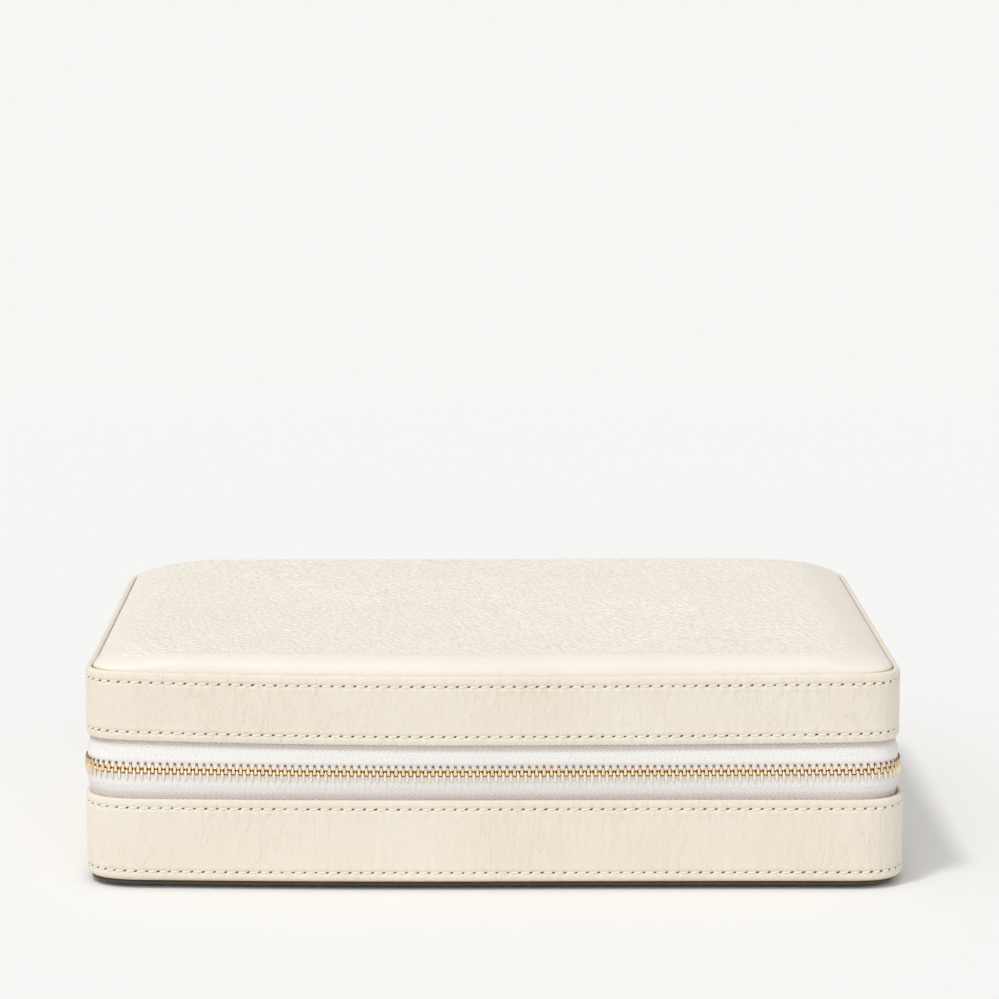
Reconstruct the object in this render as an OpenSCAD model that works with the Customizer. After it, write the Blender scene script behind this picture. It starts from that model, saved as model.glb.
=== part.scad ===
// Zip-around jewellery case: a base and a lid of leather over board, joined by a
// leather spine at the back and by a zip round the other three sides.
// Millimetres. +X is the width, the front faces -Y, +Z is up.
// The origin is the centre of the underside, on the surface that the case stands on.

/* [Case] */
// Width of the case over its leather bands
case_w = 240; // [200:1:280]
// Depth of the case from front to back
case_d = 176; // [150:1:200]
// Radius of the four upright corners
corner_r = 16; // [12:0.5:22]
// Height of the zip's centre line above the table
zip_z = 34.25; // [30:0.25:40]
// Height between the two bands, where the zip tape shows
zip_gap = 16.5; // [13:0.5:18]
// Height of the base band
base_band_h = 24; // [20:0.5:28]
// Height of the lid band up to its rolled lip
lid_band_h = 20.5; // [20:0.5:24]
// How far the padded top stands above the lip
crown_h = 5; // [3:0.5:7]
// How far the padded top's rounded edge reaches inwards
crown_edge = 7; // [5:0.5:10]

/* [Layers] */
// Thickness of the leather band, with its turned edge
band_t = 2; // [1.6:0.1:2.4]
// Thickness of the boards behind the bands and under the panels
board_t = 2.5; // [2:0.1:3]
// Thickness of the lined inner walls that meet behind the zip
inner_wall_t = 2; // [1.5:0.1:2.5]
// Thickness of the suede lining on floor and ceiling
lining_t = 1; // [0.8:0.1:1.5]
// Thickness of the leather over the padded top
skin_t = 1.2; // [1:0.1:1.6]
// Height of the padded panel under the base
bottom_h = 3; // [2:0.5:4]
// Gap between a solid of the lid and one of the base
parting_gap = 0.3; // [0.2:0.05:0.5]

/* [Zip] */
// Thickness of the woven tape
tape_t = 0.6; // [0.5:0.05:0.8]
// How far each tape is sewn in behind its band
tape_tuck = 6; // [4:0.5:8]
// Distance from one tooth to the next on the same tape
tooth_pitch = 2.15; // [2:0.05:2.5]
// Thickness of one tooth along the tape
tooth_t = 0.95; // [0.8:0.05:1]
// How far in from the band's face the middle of the chain lies
chain_in = 0.65; // [0.4:0.05:1]
// Where the parked slider's middle is on the right side
slider_y = 56; // [40:1:58]
// Travel of the slider towards the front, along the straight side
slider_travel = 120; // [80:1:122]
// Length of the slider
slider_l = 11; // [10:0.5:13]
// Length of the pull from its hinge
pull_l = 27; // [20:1:32]
// Width of the pull
pull_w = 7; // [6:0.5:9]

/* [Inside] */
// Height of the dividers' tops above the table
divider_top = 30; // [24:1:32]
// Thickness of a suede-covered divider
divider_t = 3; // [2.5:0.5:4]
// Middle of the divider beside the ring rolls
ring_bay_x = -36; // [-50:1:-20]
// Number of ring rolls
ring_rolls = 6; // [4:1:6]
// Distance from one ring roll to the next
roll_pitch = 15.5; // [14:0.5:15.5]
// Height of a ring roll's crest above the table
roll_top = 27; // [24:1:30]
// Middle of the divider in the front bay
front_divider_x = 39.5; // [10:0.5:70]
// Middle of the divider in the rear bay
rear_divider_x = 64; // [10:1:90]
// Half width of the pocket in the lid
pocket_half_w = 104; // [90:1:106]
// Depth of the pocket below the lid's ceiling
pocket_h = 8; // [7:0.5:10]
// Number of necklace straps
straps = 4; // [2:1:4]
// Distance from one necklace strap to the next
strap_pitch = 48; // [40:1:52]
// Length of the strap's free part
strap_l = 22; // [18:1:22]

/* [Hidden] */
$fn = 48;
cx = case_w / 2 - corner_r;
cy = case_d / 2 - corner_r;
base_band_z = zip_z - zip_gap / 2 - base_band_h;
base_edge_z = zip_z - zip_gap / 2;
lid_edge_z = zip_z + zip_gap / 2;
lip_z = lid_edge_z + lid_band_h;
top_z = lip_z + crown_h;
wall_u = -band_t - board_t;
inner_u = wall_u - inner_wall_t;
half_in_w = case_w / 2 + inner_u;
half_in_d = case_d / 2 + inner_u;
top_board_z = lip_z - 3;
ceiling_z = top_board_z - lining_t;
floor_z = bottom_h + board_t + lining_t;
panel_gap = 0.3;
hinge_y = case_d / 2 + 0.3;
spine_half_w = 100;
tape_gap = 0.3;
// The chain's own sizes, from the zip's centre line
tooth_half_t = 1.1;
tooth_leg = 2.45;
tooth_head = 0.8;
tape_edge = 1;
slot_half = 0.32;
bulge_bend = 4.05;
// Distances along the zip's centre line, which starts on the left side near the back
chain_r = corner_r - chain_in;
chain_start_y = 62;
side_run = cy + chain_start_y;
corner_run = chain_r * PI / 2;
front_run = 2 * cx;
to_front = side_run + corner_run;
to_right = to_front + front_run + corner_run;
base_chain_l = to_right + cy + slider_y + 1;
lid_chain_l = to_right + cy + slider_y - slider_l / 2 - 1.5;
// The slider, whose plates lie outside and behind the chain
plate_t = 1;
tunnel_clear = 0.2;
plate_u = tooth_half_t + tunnel_clear;
slider_x = case_w / 2 - chain_in;
pull_x = slider_x + plate_u + plate_t + 1.05;
pull_t = 1.2;
pin_r = 0.65;
stop_l = 3;
// The pocket and the necklace straps
pocket_t = 1.2;
pocket_mouth_y = 18;
pocket_front_y = -half_in_d + 3.5;
strap_w = 12;
strap_t = 1.6;
strap_hinge_y = 66;
strap_z = ceiling_z - 3.4;
snap_y = strap_hinge_y - strap_l + 5;
ring_front_y = half_in_d - ring_rolls * roll_pitch - 0.5 - divider_t / 2;

leather_colour = [0.93, 0.89, 0.82];
panel_colour = [0.93, 0.9, 0.86];
tape_colour = [0.93, 0.92, 0.91];
gold_colour = [0.88, 0.72, 0.45];
suede_colour = [0.8, 0.74, 0.67];
board_colour = [0.6, 0.58, 0.54];
foam_colour = [0.95, 0.93, 0.85];

// Shapes that several pieces share

// A rounded rectangle that lies u outside the case's outline, or inside it when u is below 0.
module outline(u) {
    r = corner_r + u;
    square([2 * (cx + r), 2 * cy], center = true);
    square([2 * cx, 2 * (cy + r)], center = true);
    for (x = [-cx, cx], y = [-cy, cy]) translate([x, y]) circle(r);
}

module plate(u, z_low, z_high) {
    translate([0, 0, z_low]) linear_extrude(z_high - z_low) outline(u);
}

// An upright wall between two such outlines.
module ring(u_out, u_in, z_low, z_high) {
    translate([0, 0, z_low]) linear_extrude(z_high - z_low) difference() {
        outline(u_out);
        outline(u_in);
    }
}

// A rectangle of a wall's section, from one offset to another.
module layer(u_out, u_in, z_low, z_high) {
    translate([u_in, z_low]) square([u_out - u_in, z_high - z_low]);
}

// Carries a section, drawn at (u, z), straight for a length from a corner's centre.
module run(x, y, turn, length) {
    translate([x, y]) rotate([0, 0, turn]) rotate([90, 0, 0]) linear_extrude(length)
        translate([corner_r, 0]) children();
}

module corner(x, y, turn) {
    translate([x, y]) rotate([0, 0, turn]) rotate_extrude(angle = 90)
        translate([corner_r, 0]) children();
}

module sides_and_corners() {
    run(cx, cy, 0, 2 * cy) children();
    run(cx, -cy, -90, 2 * cx) children();
    run(-cx, -cy, 180, 2 * cy) children();
    corner(cx, cy, 0) children();
    corner(cx, -cy, -90) children();
    corner(-cx, -cy, 180) children();
    corner(-cx, cy, 90) children();
}

module all_round() {
    sides_and_corners() children();
    run(-cx, cy, 90, 2 * cx) children();
}

// The way the tapes go: everywhere but behind the spine.
module along_tape() {
    stub = cx - spine_half_w - tape_gap;
    sides_and_corners() children();
    run(-cx, cy, 90, stub) children();
    run(cx - stub, cy, 90, stub) children();
}

// A pad with a flat bottom at z = 0 and a rounded upper edge.
module cushion(u, edge, rise) {
    steps = 8;
    plate(u - edge, 0, rise);
    all_round() translate([u - edge, 0]) polygon(concat(
        [[0, 0]],
        [for (i = [0:steps]) [edge * cos(90 * i / steps), rise * sin(90 * i / steps)]]
    ));
}

// Turns a piece of the base's zip into the lid's, which mirrors it at the zip's centre line.
module mirrored_at_zip() {
    translate([0, 0, 2 * zip_z]) mirror([0, 0, 1]) children();
}

// Where the chain's centre line is, s along it: [x, y, direction of the outside].
function round_corner(x, y, from, s) =
    [x + chain_r * cos(from + s / chain_r * 180 / PI),
     y + chain_r * sin(from + s / chain_r * 180 / PI),
     from + s / chain_r * 180 / PI];
function on_chain(s) =
    s < side_run ? [-cx - chain_r, chain_start_y - s, 180]
    : s < to_front ? round_corner(-cx, -cy, 180, s - side_run)
    : s < to_front + front_run ? [-cx + s - to_front, -cy - chain_r, 270]
    : s < to_right ? round_corner(cx, -cy, 270, s - to_front - front_run)
    : [cx + chain_r, -cy + s - to_right, 360];

module put_on_chain(s) {
    place = on_chain(s);
    translate([place[0], place[1], zip_z]) rotate([0, 0, place[2]]) children();
}

// Leather bands, each with a rolled edge beside its panel and a rebate behind its other edge,
// where the tape and the spine are sewn in.

module band_section(edge_z, height) {
    difference() {
        union() {
            layer(0, -band_t, edge_z - height + band_t / 2, edge_z);
            translate([-band_t / 2, edge_z - height + band_t / 2]) circle(band_t / 2);
        }
        layer(-band_t + tape_t, -band_t - 1, edge_z - tape_tuck, edge_z + 1);
    }
}

module base_leather_band() color(leather_colour) {
    all_round() band_section(base_edge_z, base_band_h);
}

module lid_leather_band() color(leather_colour) {
    mirrored_at_zip() all_round() band_section(base_edge_z, lid_band_h);
}

// Boards, which give the case its shape

module base_wall_board() color(board_colour) {
    ring(-band_t, wall_u, bottom_h, base_edge_z);
}

module lid_wall_board() color(board_colour) {
    ring(-band_t, wall_u, lid_edge_z, top_board_z);
}

module base_floor_board() color(board_colour) {
    plate(wall_u, bottom_h, bottom_h + board_t);
}

module lid_top_board() color(board_colour) {
    plate(-band_t - panel_gap, top_board_z, top_board_z + board_t);
}

// Padded panels

module base_bottom_panel() color(panel_colour) {
    translate([0, 0, bottom_h]) mirror([0, 0, 1])
        cushion(-band_t - panel_gap, bottom_h - 0.5, bottom_h);
}

module top_foam_shape() {
    translate([0, 0, top_board_z + board_t]) cushion(
        -band_t - panel_gap - skin_t,
        crown_edge - skin_t,
        top_z - top_board_z - board_t - skin_t
    );
}

module lid_top_foam() color(foam_colour) top_foam_shape();

module lid_top_leather() color(panel_colour) difference() {
    translate([0, 0, top_board_z + board_t])
        cushion(-band_t - panel_gap, crown_edge, top_z - top_board_z - board_t);
    top_foam_shape();
}

// Lined inner walls, floor and ceiling

module inner_wall_section(low_z, high_z) {
    round_r = inner_wall_t / 2;
    layer(wall_u, inner_u, low_z, high_z - round_r);
    translate([wall_u - round_r, high_z - round_r]) circle(round_r);
}

module base_inner_wall() color(suede_colour) {
    all_round() inner_wall_section(bottom_h + board_t, zip_z - parting_gap / 2);
}

module lid_inner_wall() color(suede_colour) {
    mirrored_at_zip() all_round()
        inner_wall_section(2 * zip_z - ceiling_z, zip_z - parting_gap / 2);
}

module base_floor_lining() color(suede_colour) {
    plate(inner_u, bottom_h + board_t, floor_z);
}

module lid_ceiling_lining() color(suede_colour) {
    plate(wall_u, ceiling_z, top_board_z);
}

// The zip

module tape_section() {
    out_u = -chain_in + tape_t / 2;
    top = zip_z - tape_edge;
    bend = zip_z - bulge_bend;
    polygon([
        [-band_t + tape_t, base_edge_z - tape_tuck],
        [-band_t + tape_t, base_edge_z],
        [out_u, bend],
        [out_u, top],
        [out_u - tape_t, top],
        [out_u - tape_t, bend],
        [-band_t, base_edge_z],
        [-band_t, base_edge_z - tape_tuck]
    ]);
}

module base_zip_tape() color(tape_colour) {
    along_tape() tape_section();
}

module lid_zip_tape() color(tape_colour) {
    mirrored_at_zip() along_tape() tape_section();
}

// A metal piece clamped on the tape's edge, with its head up to `head` above the centre line.
module clamped(length, head) {
    bevel = 0.25;
    rotate([90, 0, 0]) linear_extrude(length, center = true) polygon([
        [-tooth_half_t, bevel - tooth_leg],
        [bevel - tooth_half_t, -tooth_leg],
        [-slot_half, -tooth_leg],
        [-slot_half, -tape_edge],
        [slot_half, -tape_edge],
        [slot_half, -tooth_leg],
        [tooth_half_t - bevel, -tooth_leg],
        [tooth_half_t, bevel - tooth_leg],
        [tooth_half_t, head - 2 * bevel],
        [tooth_half_t - 2 * bevel, head],
        [2 * bevel - tooth_half_t, head],
        [-tooth_half_t, head - 2 * bevel]
    ]);
}

module teeth(first, length) {
    for (i = [0:floor((length - first) / tooth_pitch)])
        put_on_chain(first + i * tooth_pitch) clamped(tooth_t, tooth_head);
}

module base_zip_teeth() color(gold_colour) {
    teeth(tooth_pitch / 4, base_chain_l);
}

module lid_zip_teeth() color(gold_colour) {
    mirrored_at_zip() teeth(tooth_pitch * 3 / 4, lid_chain_l);
}

module stops() {
    end_s = to_right + cy + slider_y + slider_l / 2 + 1 + stop_l / 2;
    for (s = [-stop_l, end_s]) put_on_chain(s) clamped(stop_l, -0.35);
}

module base_zip_stops() color(gold_colour) stops();

module lid_zip_stops() color(gold_colour) mirrored_at_zip() stops();

// The slider, drawn with x outwards, y towards the back and z up from the chain's middle

module at_slider() {
    translate([slider_x, slider_y, zip_z]) children();
}

// Extrudes an outline drawn in (y, z) from one x to another.
module outwards(from, to) {
    translate([from, 0, 0]) rotate([90, 0, 90]) linear_extrude(to - from) children();
}

module slider_outline() {
    hull() {
        for (z = [-2.4, 2.4]) translate([1.5 - slider_l / 2, z]) circle(1.5);
        for (z = [-2.6, 2.6]) translate([slider_l / 2 - 2, z]) circle(2);
    }
}

module zip_slider() color(gold_colour) at_slider() {
    channel = tooth_leg + 0.3;
    slot = tape_t / 2 + tunnel_clear;
    for (side = [0, 1]) mirror([side, 0, 0]) {
        outwards(plate_u, plate_u + plate_t) slider_outline();
        outwards(slot, plate_u) difference() {
            slider_outline();
            square([slider_l + 1, 2 * channel], center = true);
        }
    }
    // The post between the two mouths, which holds the plates together
    outwards(-plate_u, plate_u) {
        translate([slider_l / 2 - 1.75, 0]) circle(0.75);
        translate([slider_l / 2 - 1.75, -0.75]) square([1, 1.5]);
    }
}

module slider_bail() color(gold_colour) at_slider() {
    foot = plate_u + plate_t;
    inside = pull_x + pin_r + 0.35 - slider_x;
    wire = 1.2;
    half_l = 2.3;
    translate([0, 0, -1.1]) linear_extrude(2.2) difference() {
        union() {
            translate([foot, -half_l - wire]) square([inside - foot, 2 * (half_l + wire)]);
            translate([inside, -half_l]) square([wire, 2 * half_l]);
            for (y = [-half_l, half_l]) translate([inside, y]) circle(wire);
        }
        translate([foot - wire, -half_l]) square([inside - foot + wire, 2 * half_l]);
    }
}

// The pull lies forwards along the chain. Its pin passes under the bail.
module zip_pull() color(gold_colour) translate([pull_x, slider_y, zip_z]) {
    arm_l = 6;
    arm_z = 1.45;
    arm_w = 1.4;
    cylinder(r = pin_r, h = 2 * (arm_z + arm_w), center = true);
    outwards(-pull_t / 2, pull_t / 2) difference() {
        union() {
            for (z = [arm_z, -arm_z - arm_w]) translate([-arm_l, z]) square([arm_l, arm_w]);
            for (y = [2 - pull_l, -arm_l], z = [-1, 1])
                translate([y, z * (pull_w / 2 - 2)]) circle(2);
            translate([-pull_l, 2 - pull_w / 2]) square([pull_l - arm_l + 2, pull_w - 4]);
            translate([2 - pull_l, -pull_w / 2]) square([pull_l - arm_l - 2, pull_w]);
        }
        translate([-arm_l + 1.2, -arm_z]) square([arm_l, 2 * arm_z]);
        translate([3.2 - pull_l, 0]) circle(1.2);
    }
}

// The spine, which covers the gap at the back and folds when the lid opens

module spine_leather() color(leather_colour) {
    face_u = -0.8;
    run(-spine_half_w, cy, 90, 2 * spine_half_w) {
        layer(-band_t + tape_t, -band_t, base_edge_z - tape_tuck, lid_edge_z + tape_tuck);
        layer(face_u, -band_t, base_edge_z + 0.2, lid_edge_z - 0.2);
    }
}

module spine_lining() color(suede_colour) {
    run(-spine_half_w, cy, 90, 2 * spine_half_w)
        layer(-band_t, -band_t - 0.8, base_edge_z + 0.2, lid_edge_z - 0.2);
}

// Dividers and ring rolls

// A divider between two points of the floor, along x or along y.
module divider(x1, y1, x2, y2) color(suede_colour) {
    half = divider_t / 2;
    along_x = x2 - x1 > y2 - y1;
    length = along_x ? x2 - x1 : y2 - y1;
    translate([x1, y1, 0]) rotate([0, 0, along_x ? 0 : 90]) {
        translate([0, -half, floor_z]) cube([length, divider_t, divider_top - half - floor_z]);
        translate([0, 0, divider_top - half]) rotate([0, 90, 0]) cylinder(r = half, h = length);
    }
}

module ring_bay_divider() divider(ring_bay_x, -half_in_d, ring_bay_x, half_in_d);

module ring_front_divider()
    divider(-half_in_w, ring_front_y, ring_bay_x - divider_t / 2, ring_front_y);

module cross_divider() divider(ring_bay_x + divider_t / 2, 0, half_in_w, 0);

module front_divider()
    divider(front_divider_x, -half_in_d, front_divider_x, -divider_t / 2);

module rear_divider() divider(rear_divider_x, divider_t / 2, rear_divider_x, half_in_d);

module ring_roll(i) color(suede_colour) {
    half = roll_pitch / 2 - 0.2;
    length = ring_bay_x - divider_t / 2 + half_in_w;
    intersection() {
        translate([-half_in_w, half_in_d - (i - 0.5) * roll_pitch - 0.3, 0]) {
            translate([0, -half, floor_z]) cube([length - 0.2, 2 * half, roll_top - half - floor_z]);
            translate([0, 0, roll_top - half]) rotate([0, 90, 0])
                cylinder(r = half, h = length - 0.2);
        }
        plate(inner_u - 0.2, floor_z, roll_top + 1);
    }
}

// The pocket in the lid, open towards the spine

module lid_pocket() color(suede_colour) difference() {
    translate([-pocket_half_w, pocket_front_y, ceiling_z - pocket_h])
        cube([2 * pocket_half_w, pocket_mouth_y - pocket_front_y, pocket_h]);
    translate([pocket_t - pocket_half_w, pocket_front_y + pocket_t, ceiling_z - pocket_h + pocket_t])
        cube([2 * (pocket_half_w - pocket_t), pocket_mouth_y - pocket_front_y, pocket_h]);
}

module pocket_elastic() color(suede_colour) {
    r = 1.3;
    translate([-pocket_half_w, pocket_mouth_y + r, ceiling_z - pocket_h + r / 2])
        rotate([0, 90, 0]) cylinder(r = r, h = 2 * pocket_half_w);
}

// The necklace straps, each with a snap near its free end

function strap_x(i) = (i - (straps + 1) / 2) * strap_pitch;

module necklace_strap(i) color(suede_colour) {
    free_l = strap_l - strap_w / 2;
    translate([strap_x(i), strap_hinge_y, strap_z]) {
        translate([-strap_w / 2, -free_l, 0]) cube([strap_w, free_l, strap_t]);
        translate([0, -free_l, 0]) cylinder(r = strap_w / 2, h = strap_t);
    }
}

module strap_tails() color(suede_colour) {
    tail_l = 8;
    for (i = [1:straps]) translate([strap_x(i) - strap_w / 2, strap_hinge_y + 0.3, strap_z]) {
        cube([strap_w, tail_l, strap_t]);
        translate([0, 1, 0]) cube([strap_w, tail_l - 1, ceiling_z - strap_z]);
    }
}

module snap_cap(i) color(gold_colour) {
    cap_h = 1.2;
    translate([strap_x(i), snap_y, strap_z - cap_h]) cylinder(r = 4, h = cap_h);
}

module snap_studs() color(gold_colour) {
    stud_z = strap_z + strap_t + 0.2;
    for (i = [1:straps])
        translate([strap_x(i), snap_y, stud_z]) cylinder(r = 3.2, h = ceiling_z - stud_z);
}

base_leather_band();
base_wall_board();
base_floor_board();
base_bottom_panel();
base_inner_wall();
base_floor_lining();
base_zip_tape();
base_zip_teeth();
base_zip_stops();
spine_leather();
spine_lining();
ring_bay_divider();
ring_front_divider();
cross_divider();
front_divider();
rear_divider();
for (i = [1:ring_rolls])
    ring_roll(i);
zip_slider();
slider_bail();
zip_pull();
lid_leather_band();
lid_wall_board();
lid_top_board();
lid_top_foam();
lid_top_leather();
lid_inner_wall();
lid_ceiling_lining();
lid_zip_tape();
lid_zip_teeth();
lid_zip_stops();
lid_pocket();
pocket_elastic();
strap_tails();
snap_studs();
for (i = [1:straps])
    necklace_strap(i);
for (i = [1:straps])
    snap_cap(i);
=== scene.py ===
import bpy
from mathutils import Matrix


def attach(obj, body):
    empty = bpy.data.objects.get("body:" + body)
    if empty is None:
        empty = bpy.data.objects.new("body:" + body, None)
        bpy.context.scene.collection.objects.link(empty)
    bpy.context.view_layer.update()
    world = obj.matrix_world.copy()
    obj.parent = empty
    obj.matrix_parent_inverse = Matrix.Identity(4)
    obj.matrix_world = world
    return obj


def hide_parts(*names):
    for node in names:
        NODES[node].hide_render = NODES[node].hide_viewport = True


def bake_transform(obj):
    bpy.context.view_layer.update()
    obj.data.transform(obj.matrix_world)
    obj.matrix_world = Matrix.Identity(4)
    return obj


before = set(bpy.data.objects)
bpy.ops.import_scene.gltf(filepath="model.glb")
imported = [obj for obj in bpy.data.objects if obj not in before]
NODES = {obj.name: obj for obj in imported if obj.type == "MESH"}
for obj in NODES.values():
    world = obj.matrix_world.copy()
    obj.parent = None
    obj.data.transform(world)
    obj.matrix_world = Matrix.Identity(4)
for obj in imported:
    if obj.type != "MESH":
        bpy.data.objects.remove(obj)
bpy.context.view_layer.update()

import math

import bpy
import numpy as np
from mathutils import Vector

SCENE = bpy.context.scene
MM = 0.001

# Sizes from the CAD part, in millimetres. u is the distance outwards from the case's outline.
CX, CY, R = 104.0, 72.0, 16.0  # middle of a round corner, and its radius
ZIP_Z = 34.25
BASE_EDGE, LID_EDGE = 26.0, 42.5  # where the leather ends at the zip
TAPE_END_X = 100.3
CHAIN_U = -0.65
PITCH = 2.15  # of the zip's teeth
QUARTER = math.pi * R / 2
LOOP = 4 * (CX + CY + QUARTER)
STITCHES = 244
STITCH = LOOP / STITCHES
PAD_EDGE_WIDTH, PAD_EDGE_RISE = 7.1, 5.6  # the rounded edge of the lid's top pad


# ---------------------------------------------------------------- camera, light and stage

def srgb(r, g, b):
    """Linear colour of an 8-bit one."""
    linear = [((c / 255 + 0.055) / 1.055) ** 2.4 if c > 10 else c / 255 / 12.92 for c in (r, g, b)]
    return (*linear, 1.0)


cam = bpy.data.cameras.new("camera")
cam.lens, cam.sensor_width = 127.0, 36.0
cam.clip_start, cam.clip_end = 0.05, 60.0
camera = bpy.data.objects.new("camera", cam)
camera.location = (-0.0109, -1.0910, 0.2777)
camera.rotation_euler = (math.radians(90 - 9.196), 0, math.radians(-0.722))
SCENE.collection.objects.link(camera)
SCENE.camera = camera
SCENE.view_settings.view_transform = "Standard"

world = bpy.data.worlds.new("studio")
world.use_nodes = True
world.node_tree.nodes["Background"].inputs["Color"].default_value = (0.985, 0.995, 1.01, 1)
world.node_tree.nodes["Background"].inputs["Strength"].default_value = 0.600
SCENE.world = world


def sun(name, towards, strength, angle, colour):
    """A soft light that comes from the direction towards."""
    data = bpy.data.lights.new(name, "SUN")
    data.energy, data.angle, data.color = strength, math.radians(angle), colour
    o = bpy.data.objects.new(name, data)
    o.rotation_euler = Vector(towards).to_track_quat("Z", "Y").to_euler()
    SCENE.collection.objects.link(o)


sun("key", (-0.36, -0.30, 1.0), 1.04, 8, (1.0, 0.985, 0.96))
sun("front_fill", (-0.10, -0.80, 0.55), 0.66, 80, (1.0, 0.99, 0.97))
sun("left_fill", (-1.00, -0.25, 0.45), 0.28, 110, (1.0, 0.99, 0.97))


# ---------------------------------------------------------------- materials

class Nodes:
    """Short names for building a node tree."""

    def __init__(self, name):
        self.mat = bpy.data.materials.new(name)
        self.mat.use_nodes = True
        self.tree = self.mat.node_tree
        self.bsdf = self.tree.nodes["Principled BSDF"]

    def put(self, socket, value):
        if isinstance(value, bpy.types.NodeSocket):
            self.tree.links.new(value, socket)
        else:
            socket.default_value = value

    def add(self, kind, out=0, inputs=None, **props):
        n = self.tree.nodes.new(kind)
        for k, v in props.items():
            setattr(n, k, v)
        for k, v in (inputs or {}).items():
            self.put(n.inputs[k], v)
        return n.outputs[out]

    def math(self, op, a, b=0.0):
        return self.add("ShaderNodeMath", 0, {0: a, 1: b}, operation=op)

    def where(self, scale=(1, 1, 1)):
        c = self.add("ShaderNodeTexCoord", "Object")
        return self.add("ShaderNodeMapping", 0, {"Vector": c, "Scale": scale})

    def noise(self, vector, scale, detail=3.0, rough=0.55, distortion=0.0):
        return self.add("ShaderNodeTexNoise", 0, {
            "Vector": vector, "Scale": scale, "Detail": detail,
            "Roughness": rough, "Distortion": distortion})

    def ramp(self, value, low, high, to_low=0.0, to_high=1.0):
        return self.add("ShaderNodeMapRange", 0, {0: value, 1: low, 2: high, 3: to_low, 4: to_high},
                        interpolation_type="SMOOTHSTEP")

    def mix(self, factor, a, b):
        n = self.tree.nodes.new("ShaderNodeMix")
        n.data_type = "RGBA"
        self.put(n.inputs[0], factor)
        self.put(n.inputs[6], a)
        self.put(n.inputs[7], b)
        return n.outputs[2]

    def field(self, name):
        return self.add("ShaderNodeAttribute", "Fac", attribute_name=name)

    def bump(self, height, strength, distance, normal=None):
        inputs = {"Height": height, "Strength": strength, "Distance": distance}
        if normal is not None:
            inputs["Normal"] = normal
        return self.add("ShaderNodeBump", 0, inputs)

    def finish(self, colour, rough, normal=None, **fixed):
        self.put(self.bsdf.inputs["Base Color"], colour)
        self.put(self.bsdf.inputs["Roughness"], rough)
        if normal is not None:
            self.put(self.bsdf.inputs["Normal"], normal)
        for k, v in fixed.items():
            self.bsdf.inputs[k.replace("_", " ")].default_value = v
        return self.mat


def leather(name, light, dark, crease, streak, grain, edge_shade_and_pebbles=0.0):
    """Cream leather. crease is how much the fine creases show, streak how far they are drawn out along Z,
    grain the strength of the fine pores. The last amount turns on the pebbles and greys the colour where the
    field flat is 0, as painted shade; the pebbles fade there too, so it is smoother. The field grain darkens
    the valleys between the pebbles as painted shade, and the field edge paints a tan line: painted shade in
    the creases by the lips, partly edge paint, and a painted warm reflection at the base's bottom edge."""
    m = Nodes(name)
    wide = m.where()
    tall = m.where((1, 1, streak))
    patches = m.noise(wide, 26, 2)
    where_creased = m.ramp(m.noise(wide, 21, 2), 0.36, 0.58)
    folds = m.noise(tall, 250, 3, 0.5, 0.4)
    lines = m.ramp(m.math("ABSOLUTE", m.math("SUBTRACT", folds, 0.5)), 0.0, 0.06, 1.0, 0.0)
    lines = m.math("MULTIPLY", lines, where_creased)
    pores = m.noise(tall, 1500, 3, 0.6)
    soft = m.noise(tall, 330, 3, 0.6)
    tone = m.mix(m.ramp(patches, 0.3, 0.7), light, dark)
    # The fine crease lines are darkened a little: painted shade in the creases.
    tone = m.mix(m.math("MULTIPLY", lines, 0.035 * crease), tone, srgb(200, 182, 152))
    # The field grain darkens the valleys between the pebbles: painted shade.
    tone = m.mix(m.math("MULTIPLY", m.field("grain"), 0.20), tone, srgb(206, 194, 174))
    flat = m.field("flat")
    # Where flat is 0, on the pad's rounded edge and its right shoulder, the colour is greyed: painted shade.
    tone = m.mix(m.math("MULTIPLY", m.math("SUBTRACT", 1.0, flat), edge_shade_and_pebbles), tone, srgb(196, 185, 174))
    # The field edge tints a tan line: painted shade in the creases by the lips, partly edge paint, and a
    # painted warm reflection at the base's bottom edge.
    tone = m.mix(m.math("MULTIPLY", m.field("edge"), 0.75), tone, srgb(196, 160, 112))
    normal = m.bump(soft, 0.55 * crease, 0.0008)
    normal = m.bump(m.math("SUBTRACT", 1.0, lines), 0.32 * crease, 0.0004, normal)
    normal = m.bump(pores, 0.12 * grain, 0.0003, normal)
    if edge_shade_and_pebbles:
        slanted = m.add("ShaderNodeMapping", 0, {"Vector": wide, "Rotation": (0, 0, math.radians(49))})
        slanted = m.add("ShaderNodeMapping", 0, {"Vector": slanted, "Scale": (278, 455, 330)})
        pebbles = m.add("ShaderNodeTexVoronoi", 0, {"Vector": slanted, "Scale": 1.0},
                        feature="DISTANCE_TO_EDGE")
        valleys = m.math("MULTIPLY", m.ramp(pebbles, 0.0, 0.42, 1.0, 0.0), flat)
        normal = m.bump(m.math("SUBTRACT", 1.0, valleys), 0.55, 0.0006, normal)
        # The valleys of these pebbles are darkened as well: painted shade.
        tone = m.mix(m.math("MULTIPLY", valleys, 0.09), tone, srgb(190, 176, 154))
    rough = m.ramp(patches, 0.3, 0.7, 0.42, 0.52)
    return m.finish(tone, rough, normal, Specular_IOR_Level=0.30, Sheen_Weight=0.05, Sheen_Roughness=0.5)


BAND = leather("smooth_leather", srgb(236, 228, 213), srgb(232, 223, 207), 1.0, 0.30, 1.0)
PANEL = leather("pebbled_leather", srgb(251, 245, 234), srgb(248, 241, 229), 0.35, 1.0, 1.2, 0.27)


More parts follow.
